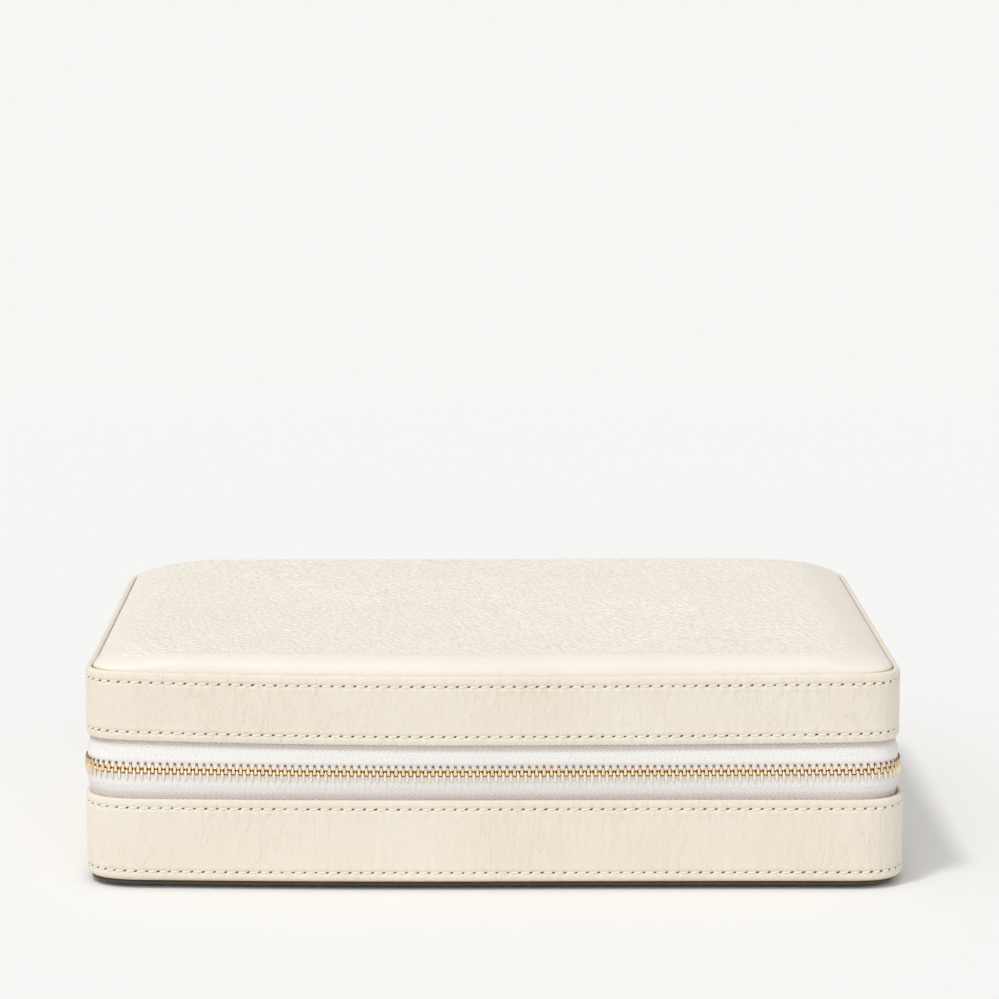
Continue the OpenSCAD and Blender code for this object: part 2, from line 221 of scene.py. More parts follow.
def suede(name, light, dark):
    """Brushed suede with a fine nap."""
    m = Nodes(name)
    w = m.where()
    brushed = m.noise(w, 55, 3, 0.5, 0.4)
    nap = m.noise(w, 2400, 2, 0.7)
    tone = m.mix(m.ramp(brushed, 0.32, 0.68), light, dark)
    tone = m.mix(m.ramp(nap, 0.35, 0.75, 0.0, 0.20), tone, tuple(1.2 * c for c in light[:3]) + (1.0,))
    normal = m.bump(nap, 0.35, 0.0003)
    normal = m.bump(m.noise(w, 260, 2), 0.12, 0.0006, normal)
    return m.finish(tone, 0.93, normal, Sheen_Weight=0.35, Sheen_Roughness=0.4, Specular_IOR_Level=0.15)


LINING = suede("suede", srgb(222, 208, 188), srgb(211, 195, 173))
# A dark brown-grey sheet under the case: painted shade for the gap under its front edge.
UNDERSIDE_SHADE = suede("underside_painted_shade", srgb(88, 79, 71), srgb(76, 69, 62))


def thread_material():
    m = Nodes("cream_thread")
    twist = m.add("ShaderNodeTexWave", 1, {"Vector": m.where(), "Scale": 900, "Distortion": 1.5},
                  wave_type="BANDS", bands_direction="DIAGONAL")
    tone = m.mix(m.math("MULTIPLY", twist, 0.35), srgb(250, 244, 232), srgb(232, 219, 194))
    return m.finish(tone, 0.6, m.bump(twist, 0.3, 0.0001), Sheen_Weight=0.2)


def hole_shade_material():
    # Dark brown discs at the needle holes: painted shade inside the holes.
    m = Nodes("needle_hole_shade")
    n = m.noise(m.where(), 900, 2)
    tone = m.mix(n, srgb(112, 84, 54), srgb(84, 61, 38))
    return m.finish(tone, 0.9, m.bump(n, 0.3, 0.0001), Specular_IOR_Level=0.1)


THREAD, HOLE_SHADE = thread_material(), hole_shade_material()


def tape_material():
    """White cotton. The weave field darkens the gaps between the threads and the herringbone's lines, partly
    the woven pattern and partly painted shade, and adds painted shade near the leather and over the base's
    tape.
    """
    m = Nodes("woven_tape")
    fibre = m.noise(m.where(), 3000, 2, 0.6)
    tone = m.mix(m.ramp(fibre, 0.3, 0.7), srgb(247, 246, 245), srgb(240, 238, 236))
    tone = m.mix(m.field("weave_and_shade"), tone, srgb(142, 112, 86))
    return m.finish(tone, 0.82, m.bump(fibre, 0.25, 0.0001), Sheen_Weight=0.15, Specular_IOR_Level=0.25)


def gold_material():
    """Polished pale gold, lighter where the field pale says so, as painted reflection of the bright floor,
    and darkened brown where the field shade says so, as painted shade.
    """
    m = Nodes("pale_gold")
    w = m.where()
    worn = m.noise(w, 420, 3)
    hazy = m.noise(w, 60, 2)
    tone = m.mix(m.ramp(worn, 0.3, 0.75), srgb(253, 230, 190), srgb(247, 216, 168))
    # pale: painted reflection of the bright floor and painted highlights on the teeth.
    tone = m.mix(m.math("MULTIPLY", m.field("pale"), 0.7), tone, srgb(255, 250, 236))
    # shade: painted shade on the teeth's sides, gaps and tips.
    tone = m.mix(m.field("shade"), tone, srgb(104, 62, 28))
    rough = m.ramp(hazy, 0.3, 0.7, 0.17, 0.27)
    return m.finish(tone, rough, m.bump(worn, 0.06, 0.0001), Metallic=1.0)


def board_material(name, light, dark, scale):
    m = Nodes(name)
    w = m.where()
    fibre = m.noise(w, scale, 4, 0.7)
    specks = m.add("ShaderNodeTexVoronoi", 0, {"Vector": w, "Scale": scale * 1.4})
    tone = m.mix(m.ramp(fibre, 0.3, 0.7), light, dark)
    tone = m.mix(m.ramp(specks, 0.0, 0.35, 0.25, 0.0), tone, srgb(90, 84, 78))
    return m.finish(tone, 0.9, m.bump(fibre, 0.4, 0.0004), Specular_IOR_Level=0.2)


TAPE, GOLD = tape_material(), gold_material()
BOARD = board_material("pressed_board", srgb(176, 168, 158), srgb(158, 150, 140), 700)
FOAM = board_material("open_cell_foam", srgb(236, 232, 216), srgb(222, 216, 198), 1300)


# ---------------------------------------------------------------- mesh helpers

def smooth(x, a, b):
    """0 up to a and 1 from b on, with a soft step between them."""
    t = np.clip((x - a) / (b - a), 0, 1)
    return t * t * (3 - 2 * t)


def bowed(P):
    """The front bows outwards a little: its ends lie further back, most at the left end and in the lid."""
    x, y, z = np.abs(P[:, 0]), P[:, 1], P[:, 2]
    lid = np.clip((z - BASE_EDGE) / (LID_EDGE - BASE_EDGE), 0, 1)
    left, right = 4.3 + 6.1 * lid, -1.0 + 4.3 * lid
    back = np.where(P[:, 0] < 0, left, right) * (x / 120) ** 2 - (2.1 + 1.3 * lid) * smooth(x, 106, 120)
    wide = 1 + (0.0065 - 0.0045 * lid * (P[:, 0] > 0)) * smooth(-y, 56, 82)
    return np.column_stack([P[:, 0] * wide, y + back * np.clip(-y / 88, 0, 1) ** 1.5, z])


def mesh(name, points, faces, mat, fields=None, bow=True):
    """A mesh object from points in millimetres. fields are float attributes, one number per point."""
    me = bpy.data.meshes.new(name)
    points = np.asarray(points, float).reshape(-1, 3)
    me.from_pydata(((bowed(points) if bow else points) * MM).tolist(), [], faces)
    me.materials.append(mat)
    me.polygons.foreach_set("use_smooth", [True] * len(me.polygons))
    for key, values in (fields or {}).items():
        a = me.attributes.new(key, "FLOAT", "POINT")
        a.data.foreach_set("value", np.asarray(values, np.float32).reshape(-1))
    me.update()
    o = bpy.data.objects.new(name, me)
    SCENE.collection.objects.link(o)
    return o


def quads(n, m, closed=False, first=0):
    """Faces of a tube of n rings of m points, whose last ring joins the first if it is closed."""
    i, j = np.meshgrid(np.arange(n if closed else n - 1), np.arange(m), indexing="ij")
    i2, j2 = (i + 1) % n, (j + 1) % m
    return (np.stack([i * m + j, i2 * m + j, i2 * m + j2, i * m + j2], -1).reshape(-1, 4) + first).tolist()


def ends(n, m):
    """The two faces that cap a tube of n rings of m points."""
    return [list(range(m)), [(n - 1) * m + j for j in reversed(range(m))]]


def grid(name, P, mat, closed=False, **kw):
    """A tube through the rings of P, capped at its ends if it isn't closed."""
    n, m = P.shape[:2]
    return mesh(name, P, quads(n, m, closed) + ([] if closed else ends(n, m)), mat, **kw)


def many(name, P, mat, **kw):
    """Many small capped tubes in one object: P is (count, rings, sides, 3)."""
    k, n, m = P.shape[:3]
    faces = [[v + c * n * m for v in f] for c in range(k) for f in quads(n, m) + ends(n, m)]
    return mesh(name, P, faces, mat, **kw)


def run(s, parts, radius):
    """Core points and outward normals at the distances s along a path of straights and quarter turns."""
    s = np.asarray(s, float)
    C, N = np.zeros(s.shape + (2,)), np.zeros(s.shape + (2,))
    start = 0.0
    for k, (core, way, angle, length) in enumerate(parts):
        last = k == len(parts) - 1
        here = (s >= start) & ((s < start + length) | last)
        t = s[here] - start
        if way is None:
            a = math.radians(angle) + t / radius
            C[here] = core
            N[here] = np.stack([np.cos(a), np.sin(a)], -1)
        else:
            C[here] = np.array(core) + t[:, None] * np.array(way)
            N[here] = (math.cos(math.radians(angle)), math.sin(math.radians(angle)))
        start += length
    return C, N


AROUND = [((0, CY), (-1, 0), 90, CX), ((-CX, CY), None, 90, QUARTER),
          ((-CX, CY), (0, -1), 180, 2 * CY), ((-CX, -CY), None, 180, QUARTER),
          ((-CX, -CY), (1, 0), 270, 2 * CX), ((CX, -CY), None, 270, QUARTER),
          ((CX, -CY), (0, 1), 0, 2 * CY), ((CX, CY), None, 0, QUARTER),
          ((CX, CY), (-1, 0), 90, CX)]


def around(s):
    """The outline, from the middle of the back towards -X and on round the front."""
    return run(np.mod(s, LOOP), AROUND, R)


def place(s, u, z):
    """Points at outline distance s, offset u and height z; the arrays have one shape."""
    s, u, z = np.broadcast_arrays(s, u, z)
    C, N = around(s)
    xy = C + N * (R + u)[..., None]
    return np.concatenate([xy, z[..., None]], -1)


def frac(x):
    return x - np.floor(x)


def jitter(k, seed):
    """An even spread of numbers from 0 to 1, the same on every run."""
    return frac(np.sin(np.asarray(k, float) * 12.9898 + seed * 78.233) * 43758.5453)


def waves(x, y, seed, count=6, size=30.0):
    """A slow random-looking surface, about -1 to 1."""
    out = 0
    for k in range(count):
        a, p = jitter(k, seed) * math.pi * 2, jitter(k, seed + 5) * 6.28
        f = 2 * math.pi / (size * (0.6 + jitter(k, seed + 9)))
        out = out + np.sin(f * (x * math.cos(a) + y * math.sin(a)) + p)
    return out / count * 1.6


def cells(x, y, seed):
    """Pebble field: 0 on the borders between jittered cells and up to about 1 inside them."""
    gx, gy = np.floor(x), np.floor(y)
    first, second = np.full(x.shape, 9.0), np.full(x.shape, 9.0)
    for dx in (-1, 0, 1):
        for dy in (-1, 0, 1):
            cx, cy = gx + dx, gy + dy
            h1 = frac(np.sin(cx * 127.1 + cy * 311.7 + seed) * 43758.5453)
            h2 = frac(np.sin(cx * 269.5 + cy * 183.3 + seed) * 24634.6345)
            d = np.hypot(cx + 0.1 + 0.8 * h1 - x, cy + 0.1 + 0.8 * h2 - y)
            second = np.minimum(second, np.maximum(first, d))
            first = np.minimum(first, d)
    return second - first


def arc(cu, cz, r, a, b, n):
    """n points on an arc about (cu, cz), from a to b degrees."""
    return [(cu + r * math.cos(t), cz + r * math.sin(t)) for t in np.radians(np.linspace(a, b, n))]


def modified(o, *mods):
    """Adds modifiers, given as (type, {setting: value})."""
    for kind, settings in mods:
        m = o.modifiers.new(kind.lower(), kind)
        for k, v in settings.items():
            setattr(m, k, v)


def done(o, body, slot, *nodes):
    """Hides the CAD nodes that the finished object replaces and attaches it to the body it rides on. slot is
    not used.
    """
    if nodes:
        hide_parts(*nodes)
    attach(o, body)


# ---------------------------------------------------------------- leather bands and their stitching

# The rows of stitches: height, and where the first needle hole is as a part of a stitch.
ROWS = {"base": ((4.30, 0.30), (23.4, 0.62)), "lid": ((45.1, 0.62), (60.0, 0.84))}


def stand_off(P, body):
    """The base's band stands off a little at its right side."""
    if body == "base":
        P[..., 0] += 0.8 * smooth(P[..., 0], 55, 122)
    return P


def band(body):
    """The stitched leather wall: rounded at the zip, with a round lip at its other edge."""
    low, high = (1.5, BASE_EDGE) if body == "base" else (LID_EDGE, 63.0)
    rows = ROWS[body]
    zip_r, lip_r = 0.6, 1.0
    face = [low + 1.3, rows[0][0] - 1.7]
    for z, _ in rows:
        face += [z + d for d in (-1.15, -0.75, -0.45, -0.18, 0.18, 0.45, 0.75, 1.15)]
    face += list(np.linspace(rows[0][0] + 1.7, rows[1][0] - 1.7, 7)) + [rows[1][0] + 1.7]
    face = sorted(z for z in face if low + 0.9 < z < high - 0.7)
    if body == "base":
        section = arc(-1, low + 1, lip_r, 180, 360, 9)
        section += [(0, z) for z in face if z > low + 1.1]
        section += arc(-zip_r, high - zip_r, zip_r, 0, 90, 5)
        section += [(-1.4, high), (-1.4, 20), (-2, 20), (-2, 10)]
    else:
        section = arc(-zip_r, low + zip_r, zip_r, 270, 360, 5)
        section += [(0, z) for z in face if z < high - 1.1]
        section += arc(-1, high - 1, lip_r, 0, 180, 9)
        section += [(-2, 55), (-2, 48.5), (-1.4, 48.5), (-1.4, low)]
    section = np.array(section)
    n = STITCHES * 6
    s = (np.arange(n) * LOOP / n)[:, None]
    u, z = section[None, :, 0] + 0 * s, section[None, :, 1] + 0 * s
    outer = smooth(section[:, 0], -0.75, -0.15)[None, :]
    for row_z, phase in rows:
        t = frac(s / STITCH - phase)
        near = np.minimum(t, 1 - t) * STITCH
        depth = 0.18 + 0.22 * np.exp(-(near / 0.6) ** 2)
        u = u - outer * depth * np.exp(-((z - row_z) / 0.5) ** 2)
        ridge = 0.22 * (0.6 - 0.4 * np.cos(2 * math.pi * t))
        u = u + outer * ridge * np.exp(-((np.abs(z - row_z) - 1.1) / 0.45) ** 2)
    middle = np.clip((z - rows[0][0] - 1.2) / 3, 0, 1) * np.clip((rows[1][0] - 1.2 - z) / 3, 0, 1)
    creases = 0.022 * waves(s * 5.0, z * 0.8, 3 if body == "base" else 7, 9, 22.0)
    u = u + outer * middle * (0.10 + creases) + 0.04 * outer * waves(s, z * 2, 11, 6, 70.0)
    seam = np.minimum(s, LOOP - s)
    u = u - outer * 0.35 * np.exp(-(seam / 0.5) ** 2)
    P = stand_off(place(s, u, z), body)
    # The field edge: tan on the lip's inner side, more at the sides, is painted shade in the crease beside
    # the panel and partly edge paint; along the base's bottom edge it is a painted warm reflection.
    at_lip = np.abs(section[:, 1] - (2.5 if body == "base" else 62.0)) < 1.5
    inner = (section[:, 0] < -1.75) & at_lip
    edge = inner[None, :] * (0.5 + 0.5 * smooth(np.abs(P[..., 0]), 105, 116))
    if body == "base":
        edge = edge + 0.8 * smooth(-section[:, 1], -2.4, -1.8)[None, :] * (section[:, 0] > -1.2)
    o = grid(body + "_band", P, BAND, closed=True, fields={"edge": edge})
    done(o, body, "cream_leather", body + "_leather_band")
    stitching(body)


def stitching(body):
    """The threads between the needle holes, and dark discs at the holes that they go into: painted shade."""
    sides = np.linspace(0, 2 * math.pi, 6, endpoint=False)
    threads, holes = [], []
    for row_z, phase in ROWS[body]:
        k = np.arange(STITCHES)
        start = (k + phase) * STITCH
        wobble = (jitter(k, row_z) - 0.5) * 0.10
        t = np.array([0.02, 0.10, 0.28, 0.5, 0.72, 0.90, 0.98])
        radius = np.array([0.10, 0.20, 0.235, 0.24, 0.235, 0.20, 0.10])
        length = STITCH - 0.72
        s = (start[:, None] + 0.36 + t[None, :] * length)[..., None] + 0 * sides
        u = -0.38 + 0.42 * np.sin(math.pi * t)[None, :, None] ** 0.8 + radius[None, :, None] * np.cos(sides)
        z = (row_z + wobble)[:, None, None] + ((t - 0.5) * 0.36)[None, :, None]
        z = z + radius[None, :, None] * np.sin(sides)
        threads.append(stand_off(place(s, u, z), body))
        # A dark disc at each needle hole: painted shade.
        ring = np.array([(-0.9, 0.45), (-0.55, 0.85), (0.0, 1.0), (0.55, 0.85), (0.9, 0.45)])
        along, across = ring[:, 0] * 0.46, ring[:, 1]
        size = 0.85 + 0.3 * jitter(k, row_z + 3)
        s = (start[:, None, None] + size[:, None, None] * along[None, :, None]) + 0 * sides
        z = (row_z + wobble)[:, None, None] + size[:, None, None] * (
            0.34 * along[None, :, None] + 0.25 * across[None, :, None] * np.sin(sides)[None, None, :])
        u = -0.27 + 0.13 * across[None, :, None] * np.cos(sides)[None, None, :] + 0 * s
        holes.append(stand_off(place(s, u, z), body))
    done(many(body + "_stitches", np.concatenate(threads), THREAD), body, "cream_leather")
    done(many(body + "_needle_hole_shades", np.concatenate(holes), HOLE_SHADE), body, "cream_leather")


band("base")
band("lid")


def side_board(body, lo, hi):
    """The stiff board inside the leather wall."""
    section = np.array([(-4.46, lo + 0.25), (-4.25, lo), (-2.25, lo), (-2.04, lo + 0.25),
                        (-2.04, hi - 0.25), (-2.25, hi), (-4.25, hi), (-4.46, hi - 0.25)])
    n = 360
    s = (np.arange(n) * LOOP / n)[:, None]
    P = place(s, section[None, :, 0] + 0 * s, section[None, :, 1] + 0 * s)
    done(grid(body + "_side_board", P, BOARD, closed=True), body, "grey_board", body + "_wall_board")


side_board("base", 3.05, BASE_EDGE)
side_board("lid", LID_EDGE, 59.95)


# ---------------------------------------------------------------- padded panels

def outline_ring(count, u, z):
    return place(np.arange(count) * LOOP / count, u, z)


def panel(name, count, edge, inner_rings, mat, inside, shape=None):
    """A panel made of rings: first those in edge, as (u, z) pairs, then rings drawn in towards the middle.
    The rings in inside, also (u, z) pairs, close it on its hidden side. shape(points, t) gives the moved
    points and the fields, where t is 0 at the last edge ring and 1 in the middle."""
    rings = [outline_ring(count, u, z) for u, z in edge]
    depth = [np.zeros(count)] * len(edge)
    last = rings[-1]
    half_w, half_d = CX + R + edge[-1][0], CY + R + edge[-1][0]
    spine = np.column_stack([last[:, 0] * (half_w - half_d) / half_w, 0 * last[:, 1], last[:, 2]])
    for t in np.linspace(0, 1, inner_rings + 1)[1:]:
        t = min(t, 0.996)
        rings.append(last * (1 - t) + spine * t)
        depth.append(np.full(count, t))
    P, fields = np.array(rings), {}
    if shape:
        P, fields = shape(P, np.array(depth))
    n, m = P.shape[:2]
    faces = [f[::-1] for f in quads(n, m)]
    mid = (n - 1) * m
    for j in range(-(m // 4), m // 4):
        ring = [j % m, (j + 1) % m, (m // 2 - j - 1) % m, (m // 2 - j) % m]
        unique = [mid + v for v in dict.fromkeys(ring)]
        if len(unique) > 2:
            faces.append(unique)
    base, k = n * m, len(inside)
    faces += quads(k, m, first=base)
    faces += [[j, base + j, base + (j + 1) % m, (j + 1) % m] for j in range(m)]
    faces.append([base + (k - 1) * m + j for j in reversed(range(m))])
    P = np.concatenate([P.reshape(-1, 3)] + [outline_ring(count, u, z) for u, z in inside])
    fields = {key: np.concatenate([values.reshape(-1), np.zeros(k * m)]) for key, values in fields.items()}
    return mesh(name, P, faces, mat, fields=fields)


def top_panel():
    """The lid's padded top: pebbled and a little crowned, with an edge that is wider at the sides."""
    turns = np.linspace(0, math.pi / 2, 14)
    edge = [(-2.12, 61.6)]
    edge += [(-2.2 - PAD_EDGE_WIDTH * (1 - math.cos(a)), 62.3 + PAD_EDGE_RISE * math.sin(a)) for a in turns]
    inner_rings, spacing = 98, 0.803
    inset = np.concatenate([[0], PAD_EDGE_WIDTH * (1 - np.cos(turns)),
                            PAD_EDGE_WIDTH + spacing * np.arange(1, inner_rings + 1)])[:, None]

    def rise(width):
        """How far each ring is above the outermost, where the rounded edge is width wide."""
        return PAD_EDGE_RISE * np.sqrt(1 - (1 - np.clip(inset / width, 0, 1)) ** 2)

    def shape(P, T):
        x, y, z = P[..., 0], P[..., 1], P[..., 2]
        ring = np.arange(P.shape[0])[:, None] + 0 * x
        on_top, past_edge = smooth(ring, 8, 17), smooth(ring, 2, 14)
        gx = (x * 0.656 - y * 0.755) / 3.6 + 0.35 * waves(x, y, 21, 5, 12.0)
        gy = (x * 0.755 + y * 0.656) / 2.2 + 0.35 * waves(x, y, 23, 5, 12.0) + 0.35 * waves(x, y, 4, 5, 46.0)
        pebble = smooth(cells(gx, gy, 1.7), 0, 0.45)
        fine = np.minimum(cells(gx * 1.9 + 3.1, gy * 1.9 + 1.3, 5.1) / 0.4, 1.0)
        z = z + on_top * (0.22 * pebble + 0.06 * fine - 0.14)
        z = z + 0.55 * (1 - (1 - T) ** 2) + 0.10 * on_top * waves(x, y, 31, 6, 60.0)
        back_corners = 0.9 * (np.abs(x) / 113) ** 9 * np.clip(y / 80, 0, 1) ** 2
        front_corners = (np.abs(x) / 112) ** 6 * np.clip(-y / 80, 0, 1) ** 6
        sides = 0.2 * smooth(np.abs(x), 88, 113) ** 2
        z = z - (back_corners + front_corners + sides) * past_edge
        z = z - smooth(np.abs(x), 94, 109) * (rise(PAD_EDGE_WIDTH) - rise(14.5))
        tucked = 0.42 * smooth(-y, 62, 84) * (1 - smooth(ring, 0, 14))
        # edge: the outermost rings at the sides are tinted tan, painted shade in the crease by the lip and
        # partly edge paint.
        fields = {"edge": (ring < 3) * smooth(np.abs(x), 105, 116),
                  # grain darkens the pebbles' valleys: painted shade.
                  "grain": on_top * (1 - 0.75 * pebble - 0.25 * fine),
                  # flat is 0 on the rounded edge and the right shoulder and at least 0.5 on the left side:
                  # painted shade greys the pad there, less on the lit left, and the pebbles fade.
                  "flat": np.maximum(on_top * (1 - smooth(x, 94, 112)), 0.5 * smooth(-x, 104, 110))}
        return np.stack([x, y - tucked, z], -1), fields

    o = panel("lid_top_pad", 860, edge, inner_rings, PANEL, [(-3.4, 62.6), (-10.5, 63.8)], shape)
    done(o, "lid", "pebbled_leather", "lid_top_leather")

    foam_edge = [(-4.2 - 6.6 * t, 62.6 + t) for t in np.linspace(0, 1, 6)]
    o = panel("lid_top_padding", 240, foam_edge, 16, FOAM, [(-4.5, 62.52)])
    done(o, "lid", "foam", "lid_top_foam")


def bottom_panel():
    """The covered panel under the case, coloured dark brown-grey as painted shade for the gap under its front
    edge.
    """
    edge = [(-2.4, 2.9), (-2.3, 2.0), (-2.0, 1.6), (-1.6, 1.35), (-1.3, 1.1), (-1.15, 0.8), (-1.2, 0.45),
            (-1.45, 0.2), (-1.9, 0.06), (-2.6, 0.0)]

    def shape(P, T):
        P[..., 2] += 0.10 * smooth(T, 0.02, 0.3)
        return P, {}

    o = panel("base_bottom_pad", 420, edge, 40, UNDERSIDE_SHADE, [(-4.6, 2.95)], shape)
    o.data.flip_normals()
    done(o, "base", "pebbled_leather", "base_bottom_panel")


def board_plate(name, u, lo, hi, body, node):
    edge = [(u, lo + 0.25), (u, hi - 0.25), (u - 0.25, hi)]
    done(panel(name, 240, edge, 4, BOARD, [(u - 0.25, lo)]), body, "grey_board", node)


top_panel()
bottom_panel()
board_plate("base_floor_card", -4.52, 3.05, 5.45, "base", "base_floor_board")
board_plate("lid_top_card", -2.34, 60.0, 62.45, "lid", "lid_top_board")


# ---------------------------------------------------------------- zip

def tape(body):
    """A woven tape with raised ribs, which slant near the leather, and a round edge."""
    step = 0.55 / 3
    start, end = TAPE_END_X, LOOP - TAPE_END_X
    n = int((end - start) / step) // 9 * 9
    outer_z = np.array([23.0, 25.6, 26.1, 26.7, 27.3, 27.9, 28.5, 29.1, 29.8, 30.5, 31.15, 31.7, 32.3])
    outer_u = -1.4 + 1.05 * smooth(outer_z, 25.4, 30.4) - 0.12 * np.exp(-((outer_z - 31.7) / 0.3) ** 2)
    bead = arc(-0.65, 32.83, 0.42, -10, 170, 5)
    inner = [(-0.95, 32.3), (-0.95, 30.6), (-1.35, 28.6), (-1.85, 26.8), (-2.0, 25.6), (-2.0, 23.0)]
    u = np.concatenate([outer_u, [b[0] for b in bead], [i[0] for i in inner]])
    z = np.concatenate([outer_z, [b[1] for b in bead], [i[1] for i in inner]])
    lean = np.zeros(len(z))
    lean[:13] = 3.2 * (np.abs(outer_z - 27.9).clip(0, 1.9) - 1.9)
    twill, ribbed = np.zeros(len(z)), np.zeros(len(z))
    twill[1:13] = 1 - smooth(outer_z[1:], 29.4, 31.0)
    ribbed[1:15] = 1 - twill[1:15]
    # How dark the herringbone is: most next to the leather, partly the woven pattern and partly painted shade
    # under the band's edge, more on the lid's tape.
    dark = np.zeros(len(z))
    dark[:13] = (0.74 if body == "lid" else 0.62) * (1 - 0.72 * smooth(outer_z, 26.8, 28.5))
    outside = (np.arange(len(z)) < 15).astype(float)
    # How much nearer to the zip's middle the edge comes: beside the teeth, and where there are none.
    nearer = (0.52 if body == "lid" else 0.05) * smooth(z, 31.0, 32.4)
    closed = 0.98 * smooth(z, 28, 32.3)
    if body == "lid":
        u, z, lean, dark, nearer = u[::-1], z[::-1], -lean[::-1], dark[::-1], nearer[::-1]
        closed, twill, ribbed, outside = closed[::-1], twill[::-1], ribbed[::-1], outside[::-1]
    i = np.arange(n)
    s = start + i * step
    calm = smooth(s, start, start + 8) * smooth(-s, -end, -end + 8)
    fine = (i % 3 == 0).astype(float)[:, None]
    bold = (0.5 + 0.5 * np.cos(2 * math.pi * i / 9))[:, None]
    S = s[:, None] + lean[None, :] * calm[:, None]
    U = u[None, :] + 0.04 * fine * ribbed[None, :] + 0.09 * bold * twill[None, :]
    U = U + 0.05 * waves(s, 0 * s, 41, 5, 60.0)[:, None] * outside[None, :]
    by_teeth = smooth(np.minimum(s, LOOP - s) - 6.0 * (s > LOOP / 2), 133, 139)[:, None]
    Z = z[None, :] + nearer[None, :] * by_teeth + closed[None, :] * (1 - by_teeth)
    if body == "lid":
        Z = 2 * ZIP_Z - Z
    loops = np.abs(np.sin(math.pi * s / 2.2))[:, None] * (np.abs(z - 26.45) < 0.5)[None, :]
    U = U + 0.12 * loops
    # The gaps between ribs darken, partly the woven pattern and partly painted shade; the base's tape is
    # darkened all over as painted shade, and the lid's tape along a thin line beside its bead.
    weave_and_shade = (0.12 + 0.88 * (1 - bold)) * (dark * twill)[None, :] + 0.09 * (1 - fine) * ribbed[None, :]
    weave_and_shade = weave_and_shade + outside[None, :] * (0.11 if body == "base" else 0.16 * np.exp(-((z - 31.7) / 0.3) ** 2))
    o = grid(body + "_tape", place(S, U, Z), TAPE, fields={"weave_and_shade": weave_and_shade})
    done(o, body, "zip_tape", body + "_zip_tape")


CHAIN_R = R + CHAIN_U
CHAIN = [((-CX, 62), (0, -1), 180, 134), ((-CX, -CY), None, 180, math.pi * CHAIN_R / 2),
         ((-CX, -CY), (1, 0), 270, 2 * CX), ((CX, -CY), None, 270, math.pi * CHAIN_R / 2),
         ((CX, -CY), (0, 1), 0, 160)]

# Each tooth from its head, past the chain's middle, to its legs' ends:
# distance from the middle, half width, how far it stands out in front and behind, and how much painted shade
# darkens the metal.
TOOTH = {
    "lid": [(-0.74, 0.20, 0.62, 0.60, 0.9), (-0.66, 0.40, 0.86, 0.80, 0.35), (-0.50, 0.54, 1.00, 0.92, 0.0),
            (-0.25, 0.57, 1.06, 0.95, 0.0), (0.15, 0.53, 1.04, 0.95, 0.0), (0.60, 0.51, 1.00, 1.00, 0.0),
            (1.10, 0.42, 0.97, 1.08, 0.0), (1.55, 0.35, 0.94, 1.10, 0.05), (1.68, 0.36, 0.94, 1.10, 0.8),
            (1.95, 0.38, 0.90, 1.00, 0.85), (2.16, 0.28, 0.80, 0.95, 0.85), (2.26, 0.10, 0.60, 0.70, 0.9)],
    "base": [(-0.88, 0.30, 0.20, 0.60, 0.8), (-0.82, 0.50, 0.40, 0.80, 0.8), (-0.34, 0.50, 0.50, 0.80, 0.8),
             (-0.24, 0.40, 0.62, 0.80, 0.9), (-0.17, 0.28, 0.86, 0.80, 0.2), (0.05, 0.40, 1.04, 0.92, 0.0),
             (0.35, 0.49, 1.08, 0.95, 0.0), (0.80, 0.48, 1.05, 1.00, 0.0), (1.30, 0.42, 1.00, 1.08, 0.0),
             (1.90, 0.40, 0.92, 1.10, 0.0), (2.45, 0.34, 0.84, 1.00, 0.0), (2.66, 0.20, 0.72, 0.80, 0.0),
             (2.74, 0.08, 0.55, 0.60, 0.1)]}


def teeth(body, first, count):
    """A row of count teeth, where first is how many pitches the first one is from the chain's end."""
    c, nrm = run((np.arange(count) + first) * PITCH, CHAIN, CHAIN_R)
    here = c + nrm * CHAIN_R
    along = np.stack([-nrm[:, 1], nrm[:, 0]], -1)
    rings, shade, pale = [], [], []
    for q, w, front, back, dark in TOOTH[body]:
        # The base's legs and the lid's heads are made lighter: painted reflection and highlight.
        paler = min(max((q - 0.3) / 0.5, 0.0), 1.0) if body == "base" else 0.5 * (q < -0.2)
        pale.append([paler] * 8)
        k = 0.17 * min(1.0, w / 0.4)
        ring = [(w, front - k), (w - k, front), (k - w, front), (-w, front - k),
                (-w, k - back), (k - w, -back), (w - k, -back), (w, k - back)]
        # The sides and backs are darker than the fronts: painted shade between the teeth.
        side = max(dark, 0.45 if body == "lid" else 0.25)
        ring_shade = [side, dark, dark, side] + [max(dark, 0.2)] * 4
        if body == "base":
            ring, ring_shade = ring[::-1], ring_shade[::-1]
        z = ZIP_Z + (q if body == "lid" else -q)
        rings.append([(a, b, z) for a, b in ring])
        shade.append(ring_shade)
    rings = np.array(rings)
    xy = (here[:, None, None, :] + along[:, None, None, :] * rings[None, :, :, 0, None]
          + nrm[:, None, None, :] * rings[None, :, :, 1, None])
    z = np.broadcast_to(rings[None, :, :, 2, None], xy.shape[:3] + (1,))
    shade = np.broadcast_to(np.array(shade)[None], xy.shape[:3])
    pale = np.broadcast_to(np.array(pale)[None], xy.shape[:3])
    o = many(body + "_teeth", np.concatenate([xy, z], -1), GOLD, fields={"shade": shade, "pale": pale})
    done(o, body, "gold_metal", body + "_zip_teeth")


tape("base")
tape("lid")
teeth("base", 0.25, 242)
teeth("lid", 0.75, 238)

EDGED = (("WELD", {"merge_threshold": 0.00001}),
         ("BEVEL", {"width": 0.00028, "segments": 3, "limit_method": "ANGLE", "angle_limit": 0.6,
                    "harden_normals": False, "use_clamp_overlap": True}))


